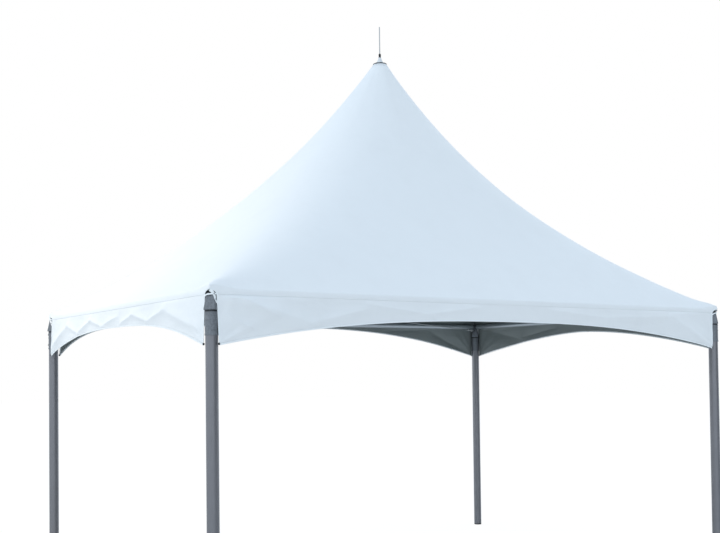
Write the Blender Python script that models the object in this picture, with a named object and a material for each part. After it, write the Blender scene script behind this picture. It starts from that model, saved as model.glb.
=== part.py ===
"""A marquee tent: a peaked fabric roof and four arched valances on a light metal frame.

Four tube legs carry cast corner fittings, the fittings join four eave beams, and cables
stretched from corner to corner hold up a centre mast that pushes the fabric to its peak.
Metres, +Z up, the long front side faces -Y and the ground is z = 0.
"""
import math

import bmesh
import bpy
from mathutils import Matrix, Vector

# Driving dimensions
FRONT = 4.57                # leg centre to leg centre along X
SIDE = 3.05                 # leg centre to leg centre along Y
EAVE_Z = 2.150              # fabric where it meets the shoulder of the beams
PEAK_Z = 4.222              # fabric at the peak ring
HEM_CORNER_Z = 1.820        # bottom of the valances beside the legs
GAP = 0.0003                # left between pieces that touch

# Tubes and the frame
LEG_R = 0.0375
BEAM_R = 0.024
MAST_R = 0.030
TUBE_WALL = 0.003
BEAM_Z = 2.125
HALF_X = FRONT / 2
HALF_Y = SIDE / 2
BLOCK_R = 0.040             # a corner fitting's block across its flats, halved
HEAD_R = 0.024              # where the block's taper turns into its rounded head
HEAD_Z = 2.148
SLEEVE_R = 0.0415
SLEEVE_LOW_Z = 1.870
BLOCK_LOW_Z = 2.018
BLOCK_TOP_Z = 2.108
SLEEVE_LAP = 0.010          # how far the sleeve runs up into the block
BEAM_START = 0.042          # from a leg's axis to the end of a beam
SPIGOT_ROOT = 0.012         # from a leg's axis to the start of its spigots, inside the block
SPIGOT_LENGTH = 0.120
LUG_Z = 2.088
LUG_R = 0.011
LUG_LENGTH = 0.075
FOOT_T = 0.010              # the rim of a foot cap that the leg stands on
FOOT_ROUND = 0.004
FOOT_TOP_Z = 0.048          # top of the cap's stem inside the leg

# Fabric
FABRIC_DROP = 0.006         # roof fabric, measured straight down
VALANCE_T = 0.003
SHOULDER = 0.018            # from the beam's axis out to where the roof fabric ends its slope
OVERHANG = 0.046            # from the beam's axis out to the valance's face
WRAP_DROP = 0.022           # how far the fabric falls from the shoulder to the valance
SLOT_TOP = 0.002            # fabric's end from the leg's axis, at the top of the corner slot
SLOT_HEM = 0.025            # and at the hem
SEAM = 0.0004               # half the gap between two roof panels, as a share of a panel
# Each hem's height at mid-span, and how squarely it arches at its first and its second corner
HEMS = {"front": (1.997, 2.5, 2.5), "right": (2.020, 1.8, 1.6),
        "back": (2.094, 2.4, 10.0), "left": (1.989, 2.5, 2.8)}
VALANCE_COLUMNS = 32
VALANCE_ROWS = 3
ROOF_ROWS = 12
ROOF_COLUMNS = 12
PROFILE_K = 2.08            # roundness of the roof's fall from peak to eave
ROUND_SHARE = 0.914         # how elliptical the roof is at its peak
ROUND_FADE = 1.62           # how soon it turns square towards the eave
ROUND_SIZE = 0.862          # the ellipse against the rectangle that holds it

# Peak: profiles as (radius, height above the piece's own underside)
RING_R = 0.058
RING_PROFILE = ((0.056, 0), (0.058, 0.002), (0.058, 0.006), (0.054, 0.009))
CONE_PROFILE = ((0.032, 0), (0.032, 0.006), (0.022, 0.024), (0.014, 0.044), (0.011, 0.054))
COLLAR_PROFILE = ((0.010, 0), (0.010, 0.026), (0.006, 0.034))
ROD_PROFILE = ((0.0045, 0), (0.0045, 0.218), (0.003, 0.225))

# Mast, its crown and its foot
CROWN_LOW_Z = PEAK_Z - 0.062
CROWN_NECK_R = 0.036
CROWN_NECK = 0.020
CROWN_R = 0.057
CROWN_RIM = 0.008
CROWN_STEM = 0.060
HUB_LOW_Z = 2.068
HUB_SEAT_Z = 2.114          # the ledge that the mast stands on
HUB_STEM_TOP_Z = 2.180
HUB_R = 0.038
HUB_LOW_R = 0.030
HUB_TAPER = 0.010
HUB_LUG_Z = 2.086
HUB_LUG_LENGTH = 0.062

# Tie cables and their rigging screws
CABLE_R = 0.004
TURNBUCKLE_LENGTH = 0.240
SCREW_R = 0.007
BARREL_R = 0.012
SCREW_LENGTH = 0.055        # bare screw at each end of the barrel
BARREL_TAPER = 0.007

# Colours, roughness and metallic values
FABRIC = ("white_fabric", (0.74, 0.83, 0.90), 0.45, 0.0)
TUBE = ("grey_tube", (0.23, 0.23, 0.25), 0.38, 0.9)
CASTING = ("dark_casting", (0.12, 0.125, 0.14), 0.5, 0.8)
BEAM = ("mill_beam", (0.52, 0.56, 0.60), 0.4, 0.9)
STEEL = ("bright_steel", (0.50, 0.51, 0.52), 0.35, 1.0)
CAP = ("black_cap", (0.03, 0.03, 0.032), 0.7, 0.0)
CONE = ("pale_cone", (0.70, 0.72, 0.74), 0.4, 0.0)

CORNERS = {"front_left": (-1, -1), "front_right": (1, -1), "back_right": (1, 1), "back_left": (-1, 1)}
SIDES = {"front": 0, "right": 1, "back": 2, "left": 3}


def clear_scene():
    for obj in list(bpy.context.scene.objects):
        bpy.data.objects.remove(obj, do_unlink=True)


def material(recipe):
    name, colour, roughness, metallic = recipe
    made = bpy.data.materials.get(name)
    if made:
        return made
    made = bpy.data.materials.new(name)
    made.use_nodes = True
    shader = made.node_tree.nodes["Principled BSDF"]
    shader.inputs["Base Color"].default_value = (*colour, 1.0)
    shader.inputs["Roughness"].default_value = roughness
    shader.inputs["Metallic"].default_value = metallic
    return made


def piece(name, bm, recipe):
    """Turn a finished bmesh into one named object."""
    bmesh.ops.recalc_face_normals(bm, faces=bm.faces)
    mesh = bpy.data.meshes.new(name)
    bm.to_mesh(mesh)
    bm.free()
    mesh.shade_smooth()
    mesh.set_sharp_from_angle(angle=math.radians(30))
    mesh.materials.append(material(recipe))
    obj = bpy.data.objects.new(name, mesh)
    bpy.context.collection.objects.link(obj)
    return obj


def turned(profile, steps=24):
    """Spin a profile of (radius, height) points about Z; one that starts at the axis ends there."""
    bm = bmesh.new()
    verts = [bm.verts.new((radius, 0, height)) for radius, height in profile]
    edges = [bm.edges.new(pair) for pair in zip(verts, verts[1:])]
    if profile[0][0] > 0:
        edges.append(bm.edges.new((verts[-1], verts[0])))
    bmesh.ops.spin(bm, geom=verts + edges, cent=(0, 0, 0), axis=(0, 0, 1),
                   angle=math.tau, steps=steps, use_merge=True)
    bmesh.ops.remove_doubles(bm, verts=bm.verts, dist=1e-6)
    return bm


def tube_profile(radius, low, high, wall=TUBE_WALL):
    return [(radius - wall, low), (radius, low), (radius, high), (radius - wall, high)]


def solid_profile(profile, low):
    """A profile given above a piece's underside, set at its real height and closed on the axis."""
    points = [(radius, low + height) for radius, height in profile]
    return [(0, points[0][1]), *points, (0, points[-1][1])]


def lay_along(bm, start, end):
    """Move a shape built up along +Z so that it runs from start towards end."""
    turn = (Vector(end) - Vector(start)).to_track_quat("Z", "Y").to_matrix().to_4x4()
    bmesh.ops.transform(bm, matrix=Matrix.Translation(start) @ turn, verts=bm.verts)
    return bm


def rod(start, end, radius, steps=16):
    """A plain solid rod between two points."""
    length = (Vector(end) - Vector(start)).length
    bm = turned([(0, 0), (radius, 0), (radius, length), (0, length)], steps)
    return lay_along(bm, start, end)


def fuse(name, shapes, recipe):
    """Join closed shapes that overlap into one solid."""
    objects = [piece(f"{name}_{index}", bm, recipe) for index, bm in enumerate(shapes)]
    body = objects[0]
    for other in objects[1:]:
        union = body.modifiers.new("join", "BOOLEAN")
        union.operation = "UNION"
        union.object = other
    bpy.context.view_layer.update()
    graph = bpy.context.evaluated_depsgraph_get()
    mesh = bpy.data.meshes.new_from_object(body.evaluated_get(graph))
    for obj in objects:
        bpy.data.objects.remove(obj, do_unlink=True)
    mesh.name = name
    joined = bpy.data.objects.new(name, mesh)
    bpy.context.collection.objects.link(joined)
    return joined


def corner_point(corner, height):
    sign_x, sign_y = CORNERS[corner]
    return Vector((sign_x * HALF_X, sign_y * HALF_Y, height))


def side_sizes(side):
    """Half the length of a side between its legs, and its distance from the centre."""
    return (HALF_X, HALF_Y) if SIDES[side] % 2 == 0 else (HALF_Y, HALF_X)


def turn_to_side(side, point):
    """Turn a point laid out on the front side to the side it belongs to."""
    return Matrix.Rotation(SIDES[side] * math.pi / 2, 3, "Z") @ Vector(point)


def roof_point(side, across, down):
    """A point of the roof: across runs -1 to 1 from hip to hip, down 0 to 1 from peak to eave."""
    half, reach = side_sizes(side)
    spread = math.atan2(half, reach)
    blend = ROUND_SHARE * (1 - down ** ROUND_FADE)
    oval_x = (half + SHOULDER) * ROUND_SIZE * math.sin(across * math.pi / 4)
    oval_y = (reach + SHOULDER) * ROUND_SIZE * math.cos(across * math.pi / 4)
    straight_x = (half + SHOULDER) * across
    straight_y = reach + SHOULDER
    x = RING_R * math.sin(across * spread) * (1 - down)
    y = RING_R * math.cos(across * spread) * (1 - down)
    x += down * (straight_x + (oval_x - straight_x) * blend)
    y += down * (straight_y + (oval_y - straight_y) * blend)
    fall = math.log((1 + PROFILE_K) / (down + PROFILE_K)) / math.log((1 + PROFILE_K) / PROFILE_K)
    return turn_to_side(side, (x, -y, EAVE_Z + (PEAK_Z - EAVE_Z) * fall))


def wrap_point(side, across):
    """The roof fabric's outer edge, bent over the beam and cut back at the corner slots."""
    half, reach = side_sizes(side)
    return turn_to_side(side, ((half - SLOT_TOP) * across, -reach - OVERHANG, EAVE_Z - WRAP_DROP))


def sheet(columns, rows, place):
    """A grid whose points are placed by place(u, v), with u and v from 0 to 1."""
    bm = bmesh.new()
    bmesh.ops.create_grid(bm, x_segments=columns, y_segments=rows, size=0.5)
    for vert in bm.verts:
        vert.co = place(vert.co.x + 0.5, vert.co.y + 0.5)
    return bm


def thicken(bm, offset):
    """Give a sheet its thickness by pushing a copy of it along one direction."""
    result = bmesh.ops.extrude_face_region(bm, geom=bm.faces[:])
    moved = [item for item in result["geom"] if isinstance(item, bmesh.types.BMVert)]
    bmesh.ops.translate(bm, vec=offset, verts=moved)
    return bm


def roof_panel(side):
    """A quarter of the roof: rows from the peak to the eave, and one more that bends over the beam."""
    rows = ROOF_ROWS + 1

    def place(u, v):
        across = (2 * u - 1) * (1 - SEAM)
        row = round(v * rows)
        if row > ROOF_ROWS:
            return wrap_point(side, across)
        return roof_point(side, across, row / ROOF_ROWS)

    return piece(f"roof_{side}", thicken(sheet(ROOF_COLUMNS, rows, place), (0, 0, -FABRIC_DROP)), FABRIC)


def hem_height(side, across):
    """The bottom of a side's valance, with across from -1 to 1 between its ends."""
    middle, first_power, second_power = HEMS[side]
    power = first_power if across < 0 else second_power
    return HEM_CORNER_Z + (middle - HEM_CORNER_Z) * (1 - abs(across) ** power)


def valance(side):
    """A hanging strip with an arched hem, ending just short of the legs."""
    half, reach = side_sizes(side)
    top = EAVE_Z - WRAP_DROP - FABRIC_DROP - GAP

    def place(u, v):
        across = 2 * u - 1
        hem = hem_height(side, across)
        end = half - (SLOT_HEM + (SLOT_TOP - SLOT_HEM) * v)
        return turn_to_side(side, (across * end, -reach - OVERHANG, hem + (top - hem) * v))

    inward = turn_to_side(side, (0, VALANCE_T, 0))
    return piece(f"valance_{side}", thicken(sheet(VALANCE_COLUMNS, VALANCE_ROWS, place), inward), FABRIC)


def leg(corner):
    bm = turned(tube_profile(LEG_R, FOOT_T + GAP, BLOCK_LOW_Z - GAP))
    bmesh.ops.translate(bm, vec=corner_point(corner, 0), verts=bm.verts)
    return piece(f"leg_{corner}", bm, TUBE)


def foot_cap(corner):
    """A plug pressed into the bottom of the tube, with a rounded rim to stand on."""
    stem = LEG_R - TUBE_WALL - GAP
    profile = [(0, 0), (LEG_R - FOOT_ROUND, 0), (LEG_R, FOOT_ROUND), (LEG_R, FOOT_T), (stem, FOOT_T),
               (stem, FOOT_TOP_Z), (0, FOOT_TOP_Z)]
    bm = turned(profile)
    bmesh.ops.translate(bm, vec=corner_point(corner, 0), verts=bm.verts)
    return piece(f"foot_cap_{corner}", bm, CAP)


def octagon(profile):
    """An eight-sided turned shape with its flats square to the beams."""
    across_corners = 1 / math.cos(math.pi / 8)
    bm = turned([(radius * across_corners, height) for radius, height in profile], 8)
    bmesh.ops.rotate(bm, cent=(0, 0, 0), matrix=Matrix.Rotation(math.pi / 8, 3, "Z"), verts=bm.verts)
    return bm


def cable_ends(corner):
    """Where the tie cable's line starts at a corner and ends at the mast foot."""
    return corner_point(corner, LUG_Z), Vector((0, 0, HUB_LUG_Z))


def along_cable(corner, distance):
    start, end = cable_ends(corner)
    return start + (end - start).normalized() * distance


def corner_fitting(corner):
    """Casting: a sleeve round the leg, a block, a rounded head, two beam spigots and a cable lug."""
    sign_x, sign_y = CORNERS[corner]
    bore = LEG_R + GAP
    sleeve = turned(tube_profile(SLEEVE_R, SLEEVE_LOW_Z, BLOCK_LOW_Z + SLEEVE_LAP, SLEEVE_R - bore))
    block = octagon([(0, BLOCK_LOW_Z), (BLOCK_R, BLOCK_LOW_Z), (BLOCK_R, BLOCK_LOW_Z + 0.012),
                     (BLOCK_R - 0.004, BLOCK_LOW_Z + 0.016), (0.028, BLOCK_TOP_Z), (HEAD_R, 2.130),
                     (0.012, HEAD_Z - 0.005), (0.004, HEAD_Z), (0, HEAD_Z)])
    shapes = [block, sleeve]
    bore_fit = BEAM_R - TUBE_WALL - GAP
    spigot = [(0, SPIGOT_ROOT), (BEAM_R, SPIGOT_ROOT), (BEAM_R, BEAM_START), (bore_fit, BEAM_START),
              (bore_fit, BEAM_START + SPIGOT_LENGTH), (0, BEAM_START + SPIGOT_LENGTH)]
    centre = Vector((0, 0, BEAM_Z))
    for direction in (Vector((-sign_x, 0, 0)), Vector((0, -sign_y, 0))):
        shapes.append(lay_along(turned(spigot, 16), centre, centre + direction))
    place = corner_point(corner, 0)
    shapes.append(rod(corner_point(corner, LUG_Z) - place, along_cable(corner, LUG_LENGTH) - place, LUG_R))
    for bm in shapes:
        bmesh.ops.translate(bm, vec=place, verts=bm.verts)
    return fuse(f"corner_fitting_{corner}", shapes, CASTING)


def eave_beam(side):
    half, reach = side_sizes(side)
    length = 2 * (half - BEAM_START - GAP)
    start = turn_to_side(side, (-length / 2, -reach, BEAM_Z))
    end = turn_to_side(side, (length / 2, -reach, BEAM_Z))
    bm = lay_along(turned(tube_profile(BEAM_R, 0, length), 16), start, end)
    return piece(f"eave_beam_{side}", bm, BEAM)


def turnbuckle(corner):
    """Rigging screw next to the corner: a fat barrel between two thinner ends."""
    end = TURNBUCKLE_LENGTH
    shoulder = SCREW_LENGTH + BARREL_TAPER
    profile = [(0, 0), (SCREW_R, 0), (SCREW_R, SCREW_LENGTH), (BARREL_R, shoulder),
               (BARREL_R, end - shoulder), (SCREW_R, end - SCREW_LENGTH), (SCREW_R, end), (0, end)]
    start = along_cable(corner, LUG_LENGTH + GAP)
    return piece(f"turnbuckle_{corner}", lay_along(turned(profile, 10), start, cable_ends(corner)[1]), STEEL)


def tie_cable(corner):
    line = cable_ends(corner)
    length = (line[1] - line[0]).length
    start = along_cable(corner, LUG_LENGTH + TURNBUCKLE_LENGTH + 2 * GAP)
    end = along_cable(corner, length - HUB_LUG_LENGTH - GAP)
    return piece(f"tie_cable_{corner}", rod(start, end, CABLE_R, 8), STEEL)


def mast_hub():
    """The mast's foot: a cup with a lug towards each corner."""
    stem = MAST_R - TUBE_WALL - GAP
    cup = [(0, HUB_LOW_Z), (HUB_LOW_R, HUB_LOW_Z), (HUB_R, HUB_LOW_Z + HUB_TAPER), (HUB_R, HUB_SEAT_Z),
           (stem, HUB_SEAT_Z), (stem, HUB_STEM_TOP_Z), (0, HUB_STEM_TOP_Z)]
    shapes = [turned(cup)]
    for corner in CORNERS:
        line = cable_ends(corner)
        tip = along_cable(corner, (line[1] - line[0]).length - HUB_LUG_LENGTH)
        shapes.append(rod((0, 0, HUB_LUG_Z), tip, LUG_R))
    return fuse("mast_hub", shapes, CASTING)


def mast():
    return piece("mast", turned(tube_profile(MAST_R, HUB_SEAT_Z + GAP, CROWN_LOW_Z)), BEAM)


def mast_crown():
    """A stepped plug in the top of the mast, flared out under the fabric's ring."""
    stem = MAST_R - TUBE_WALL - GAP
    top = PEAK_Z - GAP
    low = CROWN_LOW_Z + GAP
    profile = [(0, low - CROWN_STEM), (stem, low - CROWN_STEM), (stem, low), (CROWN_NECK_R, low),
               (CROWN_NECK_R, low + CROWN_NECK), (CROWN_R, top - CROWN_RIM), (CROWN_R, top), (0, top)]
    return piece("mast_crown", turned(profile), CASTING)


def finial():
    """The ring over the fabric, a pale cone on it, a dark collar on the cone, and a thin rod."""
    stack = (("peak_ring", RING_PROFILE, 24, CASTING), ("finial_cone", CONE_PROFILE, 24, CONE),
             ("finial_collar", COLLAR_PROFILE, 16, CASTING), ("finial_rod", ROD_PROFILE, 12, STEEL))
    low = PEAK_Z
    for name, profile, steps, recipe in stack:
        piece(name, turned(solid_profile(profile, low), steps), recipe)
        low += profile[-1][1] + GAP


def build():
    clear_scene()
    for corner in CORNERS:
        leg(corner)
        foot_cap(corner)
        corner_fitting(corner)
        turnbuckle(corner)
        tie_cable(corner)
    for side in SIDES:
        eave_beam(side)
        roof_panel(side)
        valance(side)
    mast_hub()
    mast()
    mast_crown()
    finial()


build()
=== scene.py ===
"""Looks of a peaked marquee tent: coated fabric stretched over a light metal frame.

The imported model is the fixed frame. Each operator dresses one group of like pieces, and the
panel in the sidebar lists them. Metres, +Z up, the long front side faces -Y.
"""
import math

import bmesh
import bpy
from bpy.props import FloatProperty, FloatVectorProperty, PointerProperty
from mathutils import Matrix, Vector, noise


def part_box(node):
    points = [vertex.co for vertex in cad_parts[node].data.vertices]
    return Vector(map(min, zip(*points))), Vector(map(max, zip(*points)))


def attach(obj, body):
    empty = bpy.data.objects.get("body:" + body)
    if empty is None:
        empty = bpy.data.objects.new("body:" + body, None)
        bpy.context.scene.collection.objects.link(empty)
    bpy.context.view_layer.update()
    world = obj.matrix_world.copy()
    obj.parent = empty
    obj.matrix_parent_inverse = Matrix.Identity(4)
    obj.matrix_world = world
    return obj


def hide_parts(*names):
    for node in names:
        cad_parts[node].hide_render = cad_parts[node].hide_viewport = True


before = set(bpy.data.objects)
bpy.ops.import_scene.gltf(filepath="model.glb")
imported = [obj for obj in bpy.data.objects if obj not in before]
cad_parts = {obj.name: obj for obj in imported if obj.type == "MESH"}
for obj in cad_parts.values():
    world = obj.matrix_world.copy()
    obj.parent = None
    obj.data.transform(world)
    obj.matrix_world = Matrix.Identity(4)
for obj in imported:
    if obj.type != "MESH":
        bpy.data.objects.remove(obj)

bl_info = {
    "name": "Peaked Marquee",
    "version": (1, 0, 0),
    "blender": (4, 5, 0),
    "location": "View3D > Sidebar > Marquee",
    "description": "Builds the fabric, frame and finishes of a peaked marquee tent",
    "category": "Object",
}

# Each side is the front turned by quarter turns, and its ends are numbered -1 and +1
SIDES = {"front": 0, "right": 1, "back": 2, "left": 3}
CORNERS = {"front_left": (-1, -1), "front_right": (1, -1), "back_right": (1, 1), "back_left": (-1, 1)}
CORNER_OF_END = {
    "front": {-1: "front_left", 1: "front_right"},
    "right": {-1: "front_right", 1: "back_right"},
    "back": {-1: "back_right", 1: "back_left"},
    "left": {-1: "back_left", 1: "front_left"},
}


def middle(node):
    low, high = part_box(node)
    return (low + high) / 2


def low_z(node):
    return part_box(node)[0].z


def high_z(node):
    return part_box(node)[1].z


def radius(node):
    low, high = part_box(node)
    return (high.x - low.x) / 2


# Sizes read from the frame
HALF_X = middle("leg_front_right").x
HALF_Y = -middle("leg_front_right").y
LEG_R = radius("leg_front_right")
LEG_LOW_Z = low_z("leg_front_right")
LEG_TOP_Z = high_z("leg_front_right")
CAP_TOP_Z = high_z("foot_cap_front_right")
BEAM_Z = middle("eave_beam_front").z
BEAM_R = high_z("eave_beam_front") - BEAM_Z
BEAM_GAP = HALF_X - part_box("eave_beam_front")[1].x
SLEEVE_LOW_Z = low_z("corner_fitting_front_right")
HEAD_Z = high_z("corner_fitting_front_right")
HEM_CORNER_Z = low_z("valance_front")
PEAK_Z = high_z("roof_front")
MAST_R = radius("mast")
MAST_LOW_Z = low_z("mast")
MAST_TOP_Z = high_z("mast")
HUB_LOW_Z = low_z("mast_hub")
CROWN_TOP_Z = high_z("mast_crown")
RING_R = radius("peak_ring")
RING_TOP_Z = high_z("peak_ring")
CONE_TOP_Z = high_z("finial_cone")
COLLAR_TOP_Z = high_z("finial_collar")
ROD_TOP_Z = high_z("finial_rod")
WALL = 0.003

# The roof's form, the same as the solid's
EAVE_Z = 2.150
SHOULDER = 0.018
PROFILE_K = 2.08
ROUND_SHARE = 0.914
ROUND_FADE = 1.62
ROUND_SIZE = 0.862

# How the fabric leaves the beam, hangs and opens at the corners
SKIRT_LOW_Z = 2.107
ARCH_TOP_Z = 2.137
LAP = 0.0305                # height of the valance's sewn edge under the skirt
LAP_SHARE = 0.53            # the same, as a share of the skirt
OUT_TOP = 0.030
OUT_HEM = 0.042
OUT_TOP_CORNER = 0.033
OUT_HEM_CORNER = 0.040
CORNER_REACH = 0.34
# Half the width of each corner's opening, at its top and at the hem
SLOT = {"front_left": (0.018, 0.028), "front_right": (0.045, 0.064),
        "back_right": (0.010, 0.016), "back_left": (0.082, 0.060)}
# Height of each hem at mid-span, then how squarely it arches at its -1 and +1 ends
HEM = {"front": (1.997, 2.5, 2.5), "right": (2.020, 1.8, 1.6), "back": (2.094, 2.4, 10.0),
       "left": (1.989, 2.5, 2.8)}

# The tie cables
LUG_Z = 2.088
LUG_LENGTH = 0.075
HUB_LUG_Z = 2.086
HUB_LUG_LENGTH = 0.062
TURNBUCKLE_LENGTH = 0.240
CABLE_R = 0.0038
CABLE_STRANDS = 6
CABLE_LAY = 0.055           # length in which a strand goes once round
FERRULE_LENGTH = 0.034

# The corner fittings
SLEEVE_R = 0.0412
SLEEVE_BAND_Z = 1.963
SLEEVE_BOLTS_Z = (1.990, 1.905)
SLEEVE_BOLTS_ANGLE = math.radians(24)
BLOCK_HALF = 0.040
BLOCK_TOP_Z = 2.108
BLOCK_TAPER = 0.64          # size at the top of the block, as a share of that at its foot

# The peak
CLAMP_DEPTH = 0.009
CLAMP_SCREW = 0.008
CLAMP_SCREWS = 8
SCREW_CIRCLE_R = 0.046
CONE_R = 0.032
NUT_R = 0.0100
SPIKE_R = 0.0045

# The picture's stage
CARD_EDGE = 0.80            # cosine of half the dark card's width, seen from the tent
CARD_SHARE = 0.10           # its brightness, as a share of the sky's
FLOOR_COLOUR = (0.80, 0.79, 0.77)
FLOOR_GLOW = 1.06
SOFTBOX_PLACE = (-3.6, 0.9, 4.3)
SOFTBOX_SIZE = 1.8
SOFTBOX_COLOUR = (1.0, 0.80, 0.56)
EYE_YAW = math.radians(1.3197)
EYE_PITCH = math.radians(1.5)
EYE_ROLL = math.radians(-0.6576)
SENSOR_WIDTH = 36.0
LENS_SHIFT = 0.1118


class Value:
    """A shader socket that joins in Python arithmetic by adding Math nodes."""

    def __init__(self, tree, socket):
        self.tree = tree
        self.socket = socket

    def math(self, operation, *values):
        node = self.tree.nodes.new("ShaderNodeMath")
        node.operation = operation
        for slot, value in zip(node.inputs, values):
            feed(self.tree, slot, value)
        return Value(self.tree, node.outputs[0])

    def __add__(self, other):
        return self.math("ADD", self, other)

    def __sub__(self, other):
        return self.math("SUBTRACT", self, other)

    def __rsub__(self, other):
        return self.math("SUBTRACT", other, self)

    def __mul__(self, other):
        return self.math("MULTIPLY", self, other)

    def __truediv__(self, other):
        return self.math("DIVIDE", self, other)

    __radd__ = __add__
    __rmul__ = __mul__

    def clamped(self):
        node = self.tree.nodes.new("ShaderNodeClamp")
        feed(self.tree, node.inputs[0], self)
        return Value(self.tree, node.outputs[0])


def feed(tree, slot, value):
    """Link a Value to a socket, or set the socket's own number or colour."""
    if isinstance(value, Value):
        tree.links.new(value.socket, slot)
    elif slot.type == "RGBA" and len(value) == 3:
        slot.default_value = (*value, 1.0)
    else:
        slot.default_value = value


class Graph:
    """A node tree with one method that adds any node."""

    def __init__(self, tree):
        self.tree = tree

    def node(self, kind, inputs=None, output=0, **settings):
        made = self.tree.nodes.new("ShaderNode" + kind)
        for name, value in settings.items():
            if name == "stops":
                fill_ramp(made.color_ramp, value)
            else:
                setattr(made, name, value)
        for key, value in (inputs or {}).items():
            feed(self.tree, made.inputs[key], value)
        return Value(self.tree, made.outputs[output])

    def ramp(self, value, *stops):
        return self.node("ValToRGB", {"Fac": value}, stops=stops)

    def mix(self, share, first, second):
        return self.node("Mix", {0: share, 6: first, 7: second}, output=2, data_type="RGBA")


def fill_ramp(ramp, stops):
    while len(ramp.elements) < len(stops):
        ramp.elements.new(0.5)
    for element, (place, grey) in zip(ramp.elements, stops):
        element.position = place
        element.color = (grey, grey, grey, 1.0)


class Finish(Graph):
    """A material in the making: one Principled shader and what feeds it."""

    def __init__(self, name, **constants):
        self.material = bpy.data.materials.new(name)
        self.material.use_nodes = True
        super().__init__(self.material.node_tree)
        self.shader = self.tree.nodes["Principled BSDF"]
        for socket, value in constants.items():
            self.set(socket.replace("_", " "), value)

    def set(self, socket, value):
        feed(self.tree, self.shader.inputs[socket], value)

    def place(self, scale=(1, 1, 1)):
        """Object coordinates, stretched by a scale on each axis."""
        coordinates = self.node("TexCoord", output="Object")
        return self.node("Mapping", {"Vector": coordinates, "Scale": scale})

    def noise(self, size, detail=3.0, roughness=0.5, stretch=(1, 1, 1)):
        """Noise from 0 to 1 whose lumps are about this many metres across."""
        inputs = {"Vector": self.place(stretch), "Scale": 1 / size, "Detail": detail,
                  "Roughness": roughness}
        return self.node("TexNoise", inputs)

    def bump(self, height, distance, strength=1.0, normal=None):
        inputs = {"Height": height, "Distance": distance, "Strength": strength}
        if normal:
            inputs["Normal"] = normal
        return self.node("Bump", inputs)


def tinted(colour, factor):
    return tuple(channel * factor for channel in colour)


def coated_fabric(name, colour, dirt_share):
    """Plastic-coated woven polyester: a fine scrim under a soft sheen, with faint crumples."""
    finish = Finish(name)
    broad = finish.noise(0.9, 2.0)
    cloudy = finish.noise(0.16, 4.0, 0.6)
    cleaned = finish.mix(broad * 0.5 + cloudy * 0.3, colour, tinted(colour, 0.94))
    grime = finish.ramp(finish.noise(0.35, 6.0, 0.65), (0.52, 0.0), (0.74, 1.0))
    finish.set("Base Color", finish.mix(grime * dirt_share, cleaned, (0.50, 0.51, 0.50)))
    finish.set("Roughness", 0.42 + cloudy * 0.12)
    crumple = finish.bump(finish.noise(0.22, 3.0, 0.45), 0.005)
    crease = finish.bump(finish.noise(0.05, 2.0, 0.4, (1, 1, 2.2)), 0.0010, normal=crumple)
    scrim = finish.node("TexNoise", {"Vector": finish.place(), "Scale": 900.0, "Detail": 1.0})
    finish.set("Normal", finish.bump(scrim, 0.0001, 0.5, crease))
    return finish.material


def drawn_tube(name, colour, stretch, roughness=0.28):
    """Satin tube drawn along its length, with fine streaks and a few dull patches."""
    finish = Finish(name, Metallic=0.9)
    streaks = finish.noise(0.004, 3.0, 0.6, stretch)
    patches = finish.noise(0.12, 4.0, 0.6)
    finish.set("Base Color", finish.mix(streaks * 0.45 + patches * 0.35, colour, tinted(colour, 0.72)))
    finish.set("Roughness", roughness + streaks * 0.12 + patches * 0.10)
    finish.set("Normal", finish.bump(streaks, 0.0002, 0.4))
    return finish.material


def cast_metal(name, colour):
    """Galvanised casting: mottled grey with a grainy skin."""
    finish = Finish(name, Metallic=0.75)
    grains = finish.noise(0.004, 4.0, 0.6)
    spangle = finish.node("TexVoronoi", {"Vector": finish.place(), "Scale": 90.0})
    finish.set("Base Color", finish.mix(spangle * 0.5 + grains * 0.4, colour, tinted(colour, 2.0)))
    finish.set("Roughness", 0.42 + grains * 0.2)
    finish.set("Normal", finish.bump(grains, 0.0006, 0.6))
    return finish.material


def moulded_plastic(name, colour, roughness):
    """Moulded plastic with a fine grain and slight scuffs."""
    finish = Finish(name)
    grain = finish.noise(0.0016, 2.0)
    scuffs = finish.ramp(finish.noise(0.02, 5.0, 0.7), (0.55, 0.0), (0.75, 1.0))
    worn = tuple(channel + 0.08 for channel in colour)
    finish.set("Base Color", finish.mix(scuffs * 0.5, colour, worn))
    finish.set("Roughness", roughness + scuffs * 0.15)
    finish.set("Normal", finish.bump(grain, 0.0002, 0.5))
    return finish.material


def woven_webbing(name, colour):
    """Polyester webbing with a ribbed weave."""
    finish = Finish(name)
    ribs = finish.noise(0.0015, 1.0, stretch=(1, 1, 3))
    tone = finish.noise(0.05, 3.0)
    finish.set("Base Color", finish.mix(tone * 0.5, colour, tinted(colour, 0.9)))
    finish.set("Roughness", 0.7 + ribs * 0.15)
    finish.set("Normal", finish.bump(ribs, 0.0004, 0.6))
    return finish.material


MATERIALS = {}


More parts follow.
